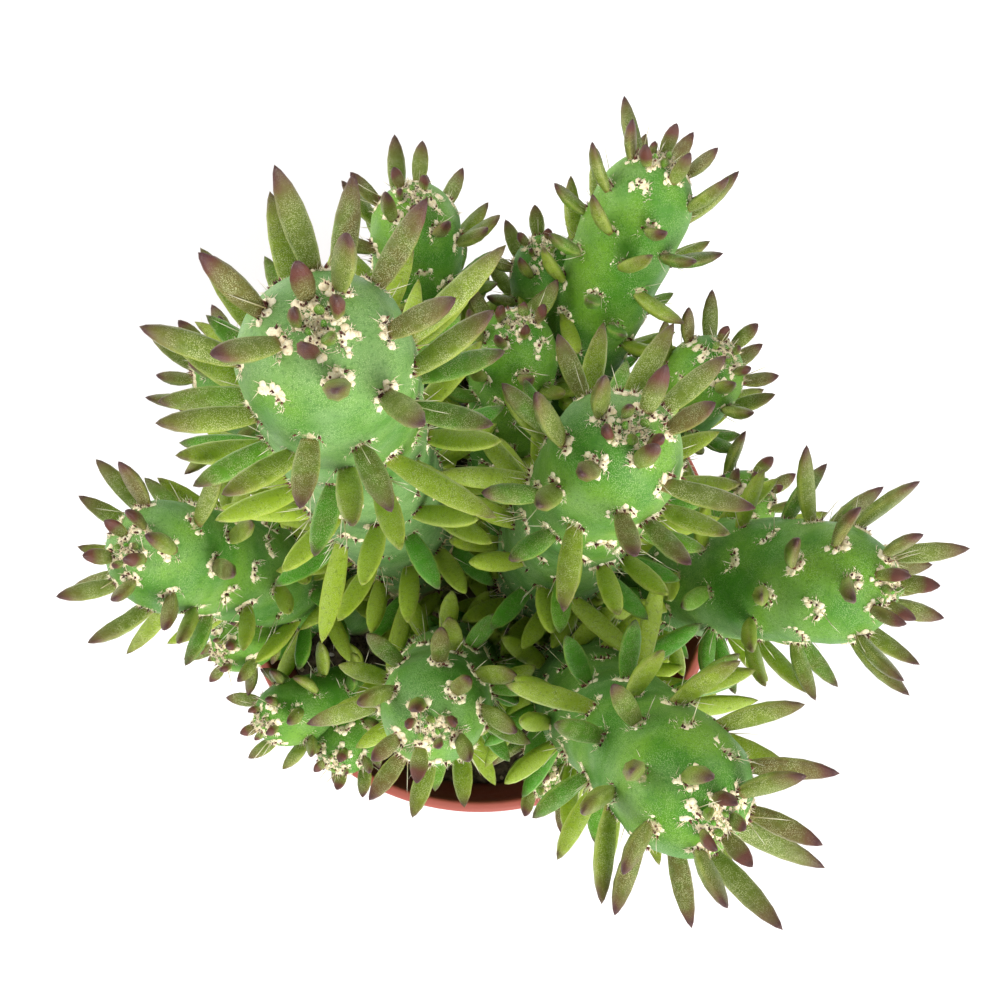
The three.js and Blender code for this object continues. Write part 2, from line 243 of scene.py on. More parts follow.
class Tree:
    """Adds nodes to a shader or geometry tree."""

    def __init__(self, tree):
        self.tree = tree

    def node(self, kind, inputs=None, out=0, **settings):
        """One node of a kind: its settings first, then the values or links of its sockets."""
        made = self.tree.nodes.new(kind)
        for name, value in settings.items():
            setattr(made, name, value)
        for key, value in (inputs or {}).items():
            socket = made.inputs[key] if isinstance(key, int) else self._named(made.inputs, key)
            if isinstance(value, Value):
                self.tree.links.new(value.socket, socket)
            else:
                socket.default_value = value
        if out is None:
            return made
        socket = made.outputs[out] if isinstance(out, int) else self._named(made.outputs, out)
        return Value(self, socket, socket.type == "VECTOR")

    def _named(self, sockets, key):
        return next((s for s in sockets if s.identifier == key), None) or sockets[key]

    def mix(self, first, second, factor):
        """Two colours mixed by a factor from 0 to 1."""
        sockets = {"A_Color": first, "B_Color": second, "Factor_Float": factor}
        return self.node("ShaderNodeMix", sockets, out="Result_Color", data_type="RGBA")

    def ranged(self, value, low, high, to_low=0.0, to_high=1.0):
        """A value carried smoothly from one range to another, held at both ends."""
        sockets = {"Value": value, "From Min": low, "From Max": high, "To Min": to_low, "To Max": to_high}
        return self.node("ShaderNodeMapRange", sockets, interpolation_type="SMOOTHSTEP")


class Finish(Tree):
    """A material with one Principled shader."""

    def __init__(self, name):
        self.material = bpy.data.materials.new(name)
        self.material.use_nodes = True
        super().__init__(self.material.node_tree)
        self.shader = self.tree.nodes["Principled BSDF"]
        self.place = self.node("ShaderNodeTexCoord", out="Object")

    def noise(self, scale, detail=3.0, roughness=0.55, where=None):
        sockets = {"Vector": where or self.place, "Scale": scale, "Detail": detail, "Roughness": roughness}
        return self.node("ShaderNodeTexNoise", sockets, out="Fac")

    def cells(self, scale):
        sockets = {"Vector": self.place, "Scale": scale, "Randomness": 1.0}
        return self.node("ShaderNodeTexVoronoi", sockets, out="Distance")

    def attribute(self, name, out="Fac"):
        return self.node("ShaderNodeAttribute", out=out, attribute_name=name)

    def set(self, **sockets):
        """Feeds the shader's sockets. An underscore stands for a space."""
        for name, value in sockets.items():
            socket = self.shader.inputs[name.replace("_", " ")]
            if isinstance(value, Value):
                self.tree.links.new(value.socket, socket)
            else:
                socket.default_value = value

    def bump(self, height, strength, distance):
        sockets = {"Height": height, "Strength": strength, "Distance": distance}
        self.set(Normal=self.node("ShaderNodeBump", sockets, out="Normal"))


# Camera


def make_camera():
    camera = bpy.data.objects.new("camera", bpy.data.cameras.new("camera"))
    camera.data.lens = CAMERA_LENS
    camera.data.sensor_width = 36
    camera.data.clip_start = 0.01
    camera.location = CAMERA_PLACE
    camera.rotation_euler = (CAMERA_TILT, 0, 0)
    bpy.context.collection.objects.link(camera)
    bpy.context.scene.camera = camera


# Stems and where their leaves are


class Stem:
    """A stem or a branch: a bent column, told by the distance along it from its foot, in mm."""

    def __init__(self, number, tip, slope, head, leaf, bloom, name=None, foot=None, parent=None, at=0):
        self.number = number
        self.bloom = bloom
        self.parent = parent
        self.node = parent.node if parent else name
        self.head = head
        self.base = FOOT_SHARE * head
        self.leaf_length = leaf
        self.start = parent.centre(at * parent.length) if parent else np.array([*foot, SOIL_TOP], float)
        self.end = np.array(tip, float)
        self.length = math.dist(self.start, self.end)
        self.handle = self.end - unit(np.array([*slope, 1.0])) * TIP_HANDLE * self.length

    def centre(self, along):
        if along < 0:
            return self.start + np.array([0, 0, along])
        u = along / self.length
        return self.start * (1 - u) * (1 - u) + self.handle * 2 * u * (1 - u) + self.end * u * u

    def frame(self, along):
        """The directions across the stem, along it, and across again."""
        u = along / self.length
        up = np.array([0, 0, 1.0])
        if along >= 0:
            up = unit((self.handle - self.start) * (1 - u) + (self.end - self.handle) * u)
        across = unit(np.array([1.0, 0, 0]) - up[0] * up)
        return across, up, np.cross(across, up)

    def radius(self, along):
        share = min(1, max(0, along) / (SWELL_UNTIL * self.length))
        column = self.base + (self.head - self.base) * share
        below = (self.length - along) / (DOME * self.head)
        return column if below >= 1 else column * math.sqrt(max(0, 1 - (1 - below) * (1 - below)))

    def balls(self):
        """The room the stem fills, as balls along its centreline."""
        steps = math.ceil(self.length / AXIS_STEP)
        places = [self.length * k / steps for k in range(steps + 1)]
        radii = [self.radius(min(a, self.length - self.head / 2)) for a in places]
        return np.array([self.centre(a) for a in places]), np.array(radii)

    def normal(self, along, out):
        """Which way the skin faces at a distance along the stem, on the side out."""
        up = self.frame(along)[1]
        rise = max(0, 1 - (self.length - along) / (DOME * self.head))
        return unit(out * math.sqrt(1 - rise * rise) / self.head + up * rise / (DOME * self.head))


def leaf_breadth(length):
    """Half the breadth of a leaf, which young leaves reach long before their length."""
    return LEAF_BREADTH * (1 - math.exp(-(length + 0.5) / BREADTH_OVER))


class Leaf:
    """One leaf, from its place in the spiral to how it stands once it has found room."""

    def __init__(self, stem, i, depth):
        self.stem, self.i, self.depth = stem, i, depth
        self.along = stem.length - depth
        self.angle = i * GOLDEN_ANGLE + stem.number + self.spread(ANGLE_SPREAD, 4)
        self.twist = self.spread(TWIST_SPREAD, 7)
        self.rise = LEAF_RISE + APEX_RISE * math.exp(-depth / UPRIGHT_DEPTH) + self.spread(RISE_SPREAD, 1)
        youth = 1 + math.exp((HALF_GROWN - i) / GROWN_OVER)
        self.full = stem.leaf_length * (1 + self.spread(SIZE_SPREAD, 2)) / youth
        old = min(1, max(0, (depth - SHED_FROM) / SHED_OVER))
        self.bare = i > HALF_GROWN and self.draw(8) < SHED_HEAD + SHED_SHARE * old
        self.solid = self.full >= SMALLEST_LEAF and (depth < HEAD_SHARE * stem.head or i % SOLID_EVERY == 0)
        self.turn(0, 0, 1)

    def draw(self, kind):
        return draw(self.stem.number, self.i, kind)

    def spread(self, width, kind):
        return width * (self.draw(kind) - 0.5)

    def spoke(self, angle):
        across, _, other = self.stem.frame(self.along)
        return across * math.cos(angle) + other * math.sin(angle)

    def turn(self, rise, turn, shorter):
        self.up = self.stem.frame(self.along)[1]
        self.out = self.spoke(self.angle)
        self.root = self.stem.centre(self.along) + self.out * self.stem.radius(self.along)
        rise = math.radians(min(STEEPEST, self.rise + rise))
        spoke = self.spoke(self.angle + self.twist + math.radians(turn))
        self.way = spoke * math.cos(rise) + self.up * math.sin(rise)
        self.length = self.full * shorter
        self.breadth = leaf_breadth(self.length)
        self.normal = self.stem.normal(self.along, self.out)

    def point(self, share):
        return self.root + self.way * share * self.length + self.up * LEAF_BEND * share * share * self.length

    def radius(self, share):
        return self.breadth * (1 - LEAF_TAPER * share * share)


def leaf_plan(stem):
    """Every leaf of a stem, from the tip down."""
    leaves = []
    lowest = stem.parent.base + BARE_CROTCH if stem.parent else BARE_FOOT
    skin = 0
    while True:
        skin += min(CELL_TO_HEAD * stem.head, FIRST_CELL * CELL_GROWTH ** len(leaves))
        depth = skin / (2 * math.pi * stem.head)
        if stem.length - depth < lowest:
            return leaves
        leaves.append(Leaf(stem, len(leaves), depth))


class Room:
    """What stems, pot, soil and placed leaves have taken."""

    def __init__(self, stems):
        self.columns = {stem: stem.balls() for stem in stems}
        self.cells = {}

    def cell(self, point):
        return tuple(math.floor(c / GRID) for c in point)

    def take(self, leaf):
        for share in PROBES:
            point = leaf.point(share)
            self.cells.setdefault(self.cell(point), []).append((point, leaf.radius(share), leaf.stem))

    def near_leaf(self, point, radius, friend=None):
        x, y, z = self.cell(point)
        for dx in (-1, 0, 1):
            for dy in (-1, 0, 1):
                for dz in (-1, 0, 1):
                    for place, size, stem in self.cells.get((x + dx, y + dy, z + dz), ()):
                        if stem is not friend and math.dist(place, point) < size + radius + LEAF_GAP:
                            return True
        return False

    def meets_other(self, own, point, radius):
        if point[2] < SOIL_TOP + SOIL_GAP + radius:
            return True
        ring = math.hypot(point[0], point[1])
        room = radius + RIM_GAP
        if RIM_RADIUS - RIM_WALL - room < ring < RIM_RADIUS + room and point[2] < POT_HEIGHT + room:
            return True
        for stem, (places, radii) in self.columns.items():
            if stem is own:
                continue
            gaps = np.sqrt(((places - point) ** 2).sum(1)) - radii
            if gaps.min() < radius + LEAF_GAP:
                return True
        return False

    def place(self, leaf, friend=None):
        """Turns a leaf the first way in which nothing is in its way, and says whether there is one."""
        for shorter in SHORTER:
            for rise in RISES:
                for turn in TURNS:
                    leaf.turn(rise, turn, shorter)
                    if all(self.clear(leaf, share, friend) for share in PROBES):
                        return True
        return False

    def clear(self, leaf, share, friend):
        point, radius = leaf.point(share), leaf.radius(share)
        if share > FREE_FROM and self.near_leaf(point, radius, friend):
            return False
        return not self.meets_other(leaf.stem, point, radius)


def grow():
    """All stems, each with its leaves in place: first those that the part's solids hold, then the rest."""
    stems = []
    rows = [dict(zip(STEM_COLUMNS, row)) for row in STEMS]
    rows += [dict(zip(BRANCH_COLUMNS, row)) for row in BRANCHES]
    for data in rows:
        on = data.pop("on", None)
        parent = next((s for s in stems if s.node == on and not s.parent), None) if on else None
        stems.append(Stem(len(stems), parent=parent, **data))
    room = Room(stems)
    plans = {stem: leaf_plan(stem) for stem in stems}
    later = []
    for stem in stems:
        for leaf in plans[stem]:
            if leaf.bare:
                continue
            if leaf.solid and room.place(leaf):
                room.take(leaf)
            else:
                later.append(leaf)
    for leaf in later:
        at_tip = leaf.depth < leaf.stem.head
        leaf.bare = not room.place(leaf, friend=leaf.stem if at_tip else None)
        if leaf.bare and at_tip:
            leaf.turn(0, 0, 1)
            leaf.bare = False
        if not leaf.bare:
            room.take(leaf)
    return stems, plans


# Meshes


def mesh_object(name, points, faces, **attributes):
    """A mesh object from points in mm, with number or vector attributes on its points."""
    mesh = bpy.data.meshes.new(name)
    mesh.from_pydata((np.asarray(points, float) * MM).tolist(), [], [tuple(f) for f in faces])
    for key, values in attributes.items():
        values = np.asarray(values, np.float32)
        kind, field = ("FLOAT_VECTOR", "vector") if values.ndim == 2 else ("FLOAT", "value")
        mesh.attributes.new(key, kind, "POINT").data.foreach_set(field, values.ravel())
    piece = bpy.data.objects.new(name, mesh)
    bpy.context.collection.objects.link(piece)
    return piece


def column_faces(rings, sides, first=0):
    """Faces of a closed column of rings, with one point at each end after the rings' own."""
    faces = []
    for k in range(rings - 1):
        for j in range(sides):
            a, b = first + k * sides + j, first + k * sides + (j + 1) % sides
            faces.append((a, b, b + sides, a + sides))
    low, high = first + rings * sides, first + rings * sides + 1
    top = first + (rings - 1) * sides
    for j in range(sides):
        faces.append((low, first + (j + 1) % sides, first + j))
        faces.append((high, top + j, top + (j + 1) % sides))
    return faces


def smooth_outward(piece):
    work = bmesh.new()
    work.from_mesh(piece.data)
    bmesh.ops.recalc_face_normals(work, faces=work.faces)
    for face in work.faces:
        face.smooth = True
    work.to_mesh(piece.data)
    work.free()


def turned(name, profile, sides):
    """A shape turned about Z from radius and height pairs that start and end on the axis."""
    inner = profile[1:-1]
    angles = np.linspace(0, 2 * math.pi, sides, endpoint=False)
    points = [(r * math.cos(a), r * math.sin(a), z) for r, z in inner for a in angles]
    points += [(0, 0, profile[0][1]), (0, 0, profile[-1][1])]
    piece = mesh_object(name, points, column_faces(len(inner), sides))
    smooth_outward(piece)
    return piece


def plain(piece):
    """Turns what the modifiers make into the piece's own mesh."""
    graph = bpy.context.evaluated_depsgraph_get()
    made = piece.evaluated_get(graph)
    mesh = bpy.data.meshes.new_from_object(made, preserve_all_data_layers=True, depsgraph=graph)
    piece.modifiers.clear()
    piece.data = mesh
    return piece


def dress(piece, finish, slot, *nodes):
    """Gives a finished piece its material and its body, and hides the nodes it stands for. The slot is not
    used.
    """
    if finish:
        piece.data.materials.clear()
        piece.data.materials.append(finish)
    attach(piece, "root")
    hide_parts(*nodes)


# Geometry trees


def sprout_tree():
    """Grows a template from every point, along the point's way, bent towards its up."""
    tree = bpy.data.node_groups.new("sprout", "GeometryNodeTree")
    face = tree.interface
    for name, kind in (
        ("Geometry", "NodeSocketGeometry"),
        ("Template", "NodeSocketObject"),
        ("Bend", "NodeSocketFloat"),
        ("Finish", "NodeSocketMaterial"),
    ):
        face.new_socket(name, in_out="INPUT", socket_type=kind)
    face.new_socket("Geometry", in_out="OUTPUT", socket_type="NodeSocketGeometry")
    t = Tree(tree)
    given = t.node("NodeGroupInput", out=None)
    source, template, bend, finish = (Value(t, s) for s in given.outputs[:4])

    def number(name):
        return t.node("GeometryNodeInputNamedAttribute", {"Name": name}, out=0, data_type="FLOAT")

    def vector(name):
        return t.node("GeometryNodeInputNamedAttribute", {"Name": name}, out=0, data_type="FLOAT_VECTOR")

    def cross(first, second):
        return t.node("ShaderNodeVectorMath", {0: first, 1: second}, out="Vector", operation="CROSS_PRODUCT")

    shape = t.node("GeometryNodeObjectInfo", {"Object": template}, out="Geometry")
    many = t.node("GeometryNodeInstanceOnPoints", {"Points": source, "Instance": shape})
    real = t.node("GeometryNodeRealizeInstances", {"Geometry": many})
    way, up, form = vector("way"), vector("up"), vector("form")
    split = t.node("ShaderNodeSeparateXYZ", {0: form}, out=None)
    x, y, share = (Value(t, s) for s in split.outputs)
    length, breadth = number("length") * MM, number("breadth") * MM
    side = t.node("ShaderNodeVectorMath", {0: cross(way, up)}, out="Vector", operation="NORMALIZE")
    along = vector("root") + way * (share * length) + up * (bend * share * abs(share) * length)
    place = along + side * (x * breadth) + cross(side, way) * (y * breadth)
    moved = t.node("GeometryNodeSetPosition", {"Geometry": real, "Position": place})
    smooth = t.node("GeometryNodeSetShadeSmooth", {"Geometry": moved})
    done = t.node("GeometryNodeSetMaterial", {"Geometry": smooth, "Material": finish})
    t.node("NodeGroupOutput", {0: done}, out=None)
    return tree


def crumb_tree():
    """Strews a template over the faces that look up, in random turns and sizes."""
    tree = bpy.data.node_groups.new("crumbs", "GeometryNodeTree")
    for name, kind in (
        ("Geometry", "NodeSocketGeometry"),
        ("Template", "NodeSocketObject"),
        ("Density", "NodeSocketFloat"),
        ("Smallest", "NodeSocketFloat"),
        ("Largest", "NodeSocketFloat"),
        ("Seed", "NodeSocketInt"),
        ("Finish", "NodeSocketMaterial"),
    ):
        tree.interface.new_socket(name, in_out="INPUT", socket_type=kind)
    tree.interface.new_socket("Geometry", in_out="OUTPUT", socket_type="NodeSocketGeometry")
    t = Tree(tree)
    given = t.node("NodeGroupInput", out=None)
    source, template, density, smallest, largest, seed, finish = (Value(t, s) for s in given.outputs[:7])
    facing = t.node("ShaderNodeSeparateXYZ", {0: t.node("GeometryNodeInputNormal")}, out="Z")
    high = t.node("ShaderNodeSeparateXYZ", {0: t.node("GeometryNodeInputPosition")}, out="Z")
    level = t.node("ShaderNodeMath", {0: high, 1: (SOIL_TOP - CRUMB_DEPTH) * MM}, operation="GREATER_THAN")
    upward = t.node("ShaderNodeMath", {0: facing, 1: 0.5}, operation="GREATER_THAN") * level
    sockets = {"Mesh": source, "Selection": upward, "Density": density, "Seed": seed}
    points = t.node("GeometryNodeDistributePointsOnFaces", sockets, out="Points")
    shape = t.node("GeometryNodeObjectInfo", {"Object": template}, out="Geometry")
    sockets = {0: (0, 0, 0), 1: (math.tau, math.tau, math.tau), "Seed": seed}
    spin = t.node("FunctionNodeRandomValue", sockets, data_type="FLOAT_VECTOR")
    sockets = {"Min_001": smallest, "Max_001": largest, "Seed": seed}
    size = t.node("FunctionNodeRandomValue", sockets, out="Value_001", data_type="FLOAT")
    sockets = {0: (0.7, 0.7, 0.5), 1: (1.5, 1.2, 1.0), "Seed": seed}
    stretch = t.node("FunctionNodeRandomValue", sockets, data_type="FLOAT_VECTOR")
    sockets = {"Min_001": 0.0, "Max_001": 1.0}
    tone = t.node("FunctionNodeRandomValue", sockets, out="Value_001", data_type="FLOAT")
    sockets = {"Points": points, "Instance": shape, "Rotation": spin, "Scale": stretch * size}
    many = t.node("GeometryNodeInstanceOnPoints", sockets)
    sockets = {"Geometry": many, "Name": "tone", "Value": tone}
    toned = t.node("GeometryNodeStoreNamedAttribute", sockets, data_type="FLOAT", domain="INSTANCE")
    real = t.node("GeometryNodeRealizeInstances", {"Geometry": toned})
    joined = t.node("GeometryNodeJoinGeometry", {0: real})
    t.tree.links.new(source.socket, joined.socket.node.inputs[0])
    smooth = t.node("GeometryNodeSetShadeSmooth", {"Geometry": joined})
    done = t.node("GeometryNodeSetMaterial", {"Geometry": smooth, "Material": finish})
    t.node("NodeGroupOutput", {0: done}, out=None)
    return tree


def run_tree(piece, tree, **inputs):
    """Runs a geometry tree on a piece and keeps what it makes. Inputs are set by the sockets' identifiers."""
    modifier = piece.modifiers.new(tree.name, "NODES")
    modifier.node_group = tree
    for item in tree.interface.items_tree:
        if item.item_type == "SOCKET" and item.in_out == "INPUT" and item.name in inputs:
            modifier[item.identifier] = inputs[item.name]
    return plain(piece)


# Templates


def leaf_template():
    """A fleshy leaf of unit length and half-breadth: low above, round below, its root sunk in the stem."""
    sides, shares = 8, (-0.12, 0.04, 0.2, 0.4, 0.62, 0.81, 0.94)
    widest = 0.46
    points, rim = [], []
    for share in shares:
        if share < widest:
            width = 0.56 + 0.44 * math.sin(math.pi / 2 * max(0, share + 0.02) / widest)
        else:
            width = (1 - ((share - widest) / (1 - widest)) ** 2.2) ** 0.8
        for j in range(sides):
            angle = math.tau * j / sides
            x, y = math.cos(angle), math.sin(angle)
            height = 0.5 * y - 0.08 * max(0, 1 - 2.5 * abs(x)) if y > 0 else 1.0 * y
            points.append((width * x, width * height, share))
            # rim: 1 along the leaf's sides, where the finish paints a pale rim light and a slightly redder
            # margin
            rim.append(abs(x) ** 3)
    points += [(0, 0, shares[0]), (0, 0, 1)]
    rim += [0, 0]
    return mesh_object("leaf form", points, column_faces(len(shares), sides), form=points, rim=rim)


def needle_template(name, sides, shares, widths):
    """A tapering needle of unit length and unit radius at its root."""
    points = [
        (w * math.cos(math.tau * j / sides), w * math.sin(math.tau * j / sides), s)
        for s, w in zip(shares, widths)
        for j in range(sides)
    ]
    points += [(0, 0, shares[0]), (0, 0, 1)]
    return mesh_object(name, points, column_faces(len(shares), sides), form=points)


def hair_template():
    """A three-sided hair of unit length with a flat root."""
    points = [(math.cos(a), math.sin(a), 0) for a in (0, math.tau / 3, -math.tau / 3)] + [(0, 0, 1)]
    faces = [(0, 2, 1), (0, 1, 3), (1, 2, 3), (2, 0, 3)]
    return mesh_object("hair form", points, faces, form=points)


def lump_template(name):
    """A small uneven lump of unit size."""
    work = bmesh.new()
    bmesh.ops.create_icosphere(work, subdivisions=1, radius=1)
    points = [tuple(point.co * (0.75 + 0.5 * draw(k, 3, 9))) for k, point in enumerate(work.verts)]
    faces = [[point.index for point in face.verts] for face in work.faces]
    work.free()
    return mesh_object(name, points, faces, form=points)


# Materials


def skin_finish():
    f = Finish("green skin with a pale bloom")
    felt, old, waxy = f.attribute("felt"), f.attribute("old"), f.attribute("bloom")
    green = f.mix(srgb(66, 128, 20), srgb(110, 158, 38), f.ranged(f.noise(62, 2), 0.36, 0.66))
    # Painted shade: the skin turns a deep green further down from each tip and near the soil, standing in for
    # the shade among the stems. The corky brown lower still is the stem's own colour.
    green = f.mix(green, srgb(38, 92, 18), f.ranged(old, 0.12, 0.6) * 0.85)
    patch = f.ranged(f.noise(75, 3, where=f.place + (0.3, 0.1, 0.7)) + waxy * 0.5, 0.6, 1.02)
    green = f.mix(green, srgb(122, 160, 96), patch * 0.8)
    green = f.mix(green, srgb(44, 98, 26), f.ranged(f.noise(1500, 2), 0.48, 0.7) * 0.4)
    speck = f.ranged(f.cells(4600), 0.5, 0.15)
    green = f.mix(green, srgb(190, 216, 144), speck * f.ranged(f.noise(240, 2), 0.25, 0.6) * 0.5)
    cork = f.ranged(old + f.noise(160, 4) * 0.35, 1.02, 1.2)
    green = f.mix(green, srgb(138, 118, 84), cork)
    wool = f.ranged(felt + (f.noise(1200, 2) - 0.5) * 0.9, 0.62, 0.95)
    colour = f.mix(green, srgb(214, 200, 160), wool)
    f.set(Base_Color=colour, Roughness=f.ranged(f.noise(300, 3), 0.3, 0.7, 0.42, 0.6))
    f.set(Sheen_Weight=0.06, Sheen_Roughness=0.45, Sheen_Tint=srgb(214, 240, 214), Specular_IOR_Level=0.3)
    f.bump(f.cells(4600), 0.35, 0.0003)
    return f.material


def leaf_finish():
    f = Finish("fleshy leaf")
    form = f.node("ShaderNodeSeparateXYZ", {0: f.attribute("form", "Vector")}, out=None)
    share = Value(f, form.outputs["Z"])
    upper = f.ranged(Value(f, form.outputs["Y"]), -0.2, 0.25)
    rim, sun, tone, young, red = (f.attribute(name) for name in ("rim", "sun", "tone", "young", "red"))
    mottle = f.noise(260, 3)
    shaded = f.mix(srgb(150, 174, 40), srgb(78, 146, 26), f.ranged(tone, 0.4, 0.9))
    sunny = f.mix(srgb(106, 124, 36), srgb(112, 96, 48), f.ranged(tone + (mottle - 0.5), 0.4, 1.15))
    colour = f.mix(shaded, sunny, f.ranged(sun * (0.75 + 0.25 * upper) + (mottle - 0.5) * 0.5, 0.15, 0.9))
    colour = f.mix(colour, srgb(84, 158, 30), young)
    colour = f.mix(colour, srgb(70, 88, 22), f.ranged(f.noise(1500, 2), 0.5, 0.72) * 0.4)
    dots = f.ranged(f.cells(5000), 0.55, 0.15) * f.ranged(f.noise(420, 2), 0.25, 0.6)
    colour = f.mix(colour, srgb(220, 222, 168), dots * f.ranged(sun, 0.0, 0.6, 0.3, 0.75))
    # Painted rim light: a pale band along the leaf's sides
    colour = f.mix(colour, srgb(186, 190, 96), f.ranged(rim, 0.6, 1.0) * 0.3)
    redness = share + (mottle - 0.5) * 0.24 + sun * 0.14 + red + tone * 0.06 + rim * 0.06
    colour = f.mix(colour, srgb(98, 78, 40), f.ranged(redness, 0.66, 1.0) * f.ranged(sun, 0.1, 0.7) * 0.6)
    tip = f.mix(srgb(102, 50, 48), srgb(68, 30, 42), f.ranged(share, 0.75, 1.0))
    colour = f.mix(colour, tip, f.ranged(redness, 0.92, 1.14) * 0.9)
    foot = f.ranged(share, 0.12, 0.0)
    colour = f.mix(colour, srgb(126, 74, 56), foot * f.ranged(sun, 0.2, 0.8) * 0.6)
    f.set(Base_Color=colour, Roughness=f.ranged(mottle, 0.3, 0.7, 0.38, 0.52), Specular_IOR_Level=0.4)
    f.set(Subsurface_Weight=0.15, Subsurface_Radius=(1.0, 1.0, 0.2), Subsurface_Scale=0.0016)
    f.bump(f.cells(5000), 0.35, 0.0003)
    return f.material


def wool_finish():
    f = Finish("areole wool")
    tone, age = f.attribute("tone"), f.attribute("sun")
    fresh = f.mix(srgb(255, 246, 214), srgb(250, 230, 190), tone)
    dull = f.mix(srgb(206, 174, 128), srgb(236, 214, 170), tone)
    colour = f.mix(fresh, dull, f.ranged(age, 0.3, 1.0))
    colour = f.mix(colour, srgb(176, 126, 104), f.ranged(f.noise(1500, 3), 0.6, 0.74) * 0.4)
    colour = f.mix(colour, srgb(255, 252, 232), f.ranged(f.cells(5200), 0.5, 0.1) * 0.6)
    f.set(Base_Color=colour, Roughness=0.95, Sheen_Weight=0.15, Specular_IOR_Level=0.15)
    return f.material


def scale_finish():
    f = Finish("dry bud scale")
    share = f.node("ShaderNodeSeparateXYZ", {0: f.attribute("form", "Vector")}, out="Z")
    colour = f.mix(srgb(118, 66, 54), srgb(66, 34, 34), f.attribute("tone"))
    colour = f.mix(colour, srgb(164, 122, 92), f.ranged(share + f.noise(1500, 2) * 0.4, 0.85, 1.2))
    f.set(Base_Color=colour, Roughness=0.62, Specular_IOR_Level=0.3)
    return f.material


def spine_finish():
    f = Finish("pale spine")
    share = f.node("ShaderNodeSeparateXYZ", {0: f.attribute("form", "Vector")}, out="Z")
    colour = f.mix(srgb(206, 190, 134), srgb(236, 230, 200), f.ranged(share, 0.0, 0.6))
    colour = f.mix(colour, srgb(176, 138, 80), f.ranged(share + f.attribute("tone") * 0.2, 0.98, 1.12))
    f.set(Base_Color=colour, Roughness=0.35, Specular_IOR_Level=0.4)
    return f.material


def pot_finish():
    f = Finish("terracotta-coloured plastic")
    high = f.node("ShaderNodeSeparateXYZ", {0: f.place}, out="Z")
    cloud = f.ranged(f.noise(28, 4), 0.35, 0.7)
    colour = f.mix(srgb(146, 68, 54), srgb(160, 80, 66), cloud)
    colour = f.mix(colour, srgb(150, 70, 54), f.ranged(f.noise(900, 3), 0.55, 0.8) * 0.5)
    scuff = f.ranged(f.noise(60, 6, 0.7, where=f.place * (1.0, 1.0, 0.25)), 0.6, 0.74)
    colour = f.mix(colour, srgb(208, 150, 130), scuff * 0.5)
    rim = f.ranged(high, (POT_HEIGHT - 2.2) * MM, POT_HEIGHT * MM)
    colour = f.mix(colour, srgb(170, 90, 78), rim * 0.6)
    inside = f.attribute("inside")
    # Painted shade: the inside of the pot is darkened to a deep red-brown, standing in for the shadow within
    # the wall. The soil splash below is real dirt.
    colour = f.mix(colour, srgb(112, 46, 38), inside * 0.85)
    splash = f.ranged(high + f.noise(120, 4) * 0.012, (SOIL_TOP + 13) * MM, (SOIL_TOP + 2) * MM) * inside
    colour = f.mix(colour, srgb(84, 70, 56), splash * f.ranged(f.noise(500, 4), 0.35, 0.6))
    dust = f.ranged(high + f.noise(90, 4) * 0.02, 0.024, 0.006)
    colour = f.mix(colour, srgb(168, 122, 100), dust * 0.5)
    f.set(Base_Color=colour, Roughness=f.ranged(f.noise(220, 4), 0.3, 0.7, 0.4, 0.58) + scuff * 0.15)
    f.set(Specular_IOR_Level=0.4)
    f.bump(f.noise(1800, 3) + scuff * 0.6, 0.16, 0.0004)
    return f.material


def soil_finish():
    f = Finish("moist peat")
    tone = f.attribute("tone")
    colour = f.mix(srgb(62, 54, 44), srgb(118, 104, 84), f.ranged(f.noise(420, 5, 0.65), 0.35, 0.7))
    colour = f.mix(colour, srgb(78, 66, 52), f.ranged(tone, 0.2, 0.6))
    colour = f.mix(colour, srgb(150, 136, 112), f.ranged(tone, 0.76, 0.86))
    colour = f.mix(colour, srgb(214, 210, 198), f.ranged(tone, 0.94, 0.955))
    f.set(Base_Color=colour, Roughness=0.95, Specular_IOR_Level=0.2)
    f.bump(f.noise(1400, 5, 0.7), 0.8, 0.0008)
    return f.material


# Pot and soil


def wall_radius(z):
    top = RIM_RADIUS - LIP_STEP
    return FOOT_RADIUS + (top - FOOT_RADIUS) * (z / (POT_HEIGHT - LIP_HEIGHT))


def arc(cx, cz, radius, start, end, steps):
    """Points of a rounded corner, from one angle to another in degrees."""
    angles = [math.radians(start + (end - start) * k / steps) for k in range(steps + 1)]
    return [(cx + radius * math.cos(a), cz + radius * math.sin(a)) for a in angles]


def in_metres(x, y, z):
    return (x * MM, y * MM, z * MM)


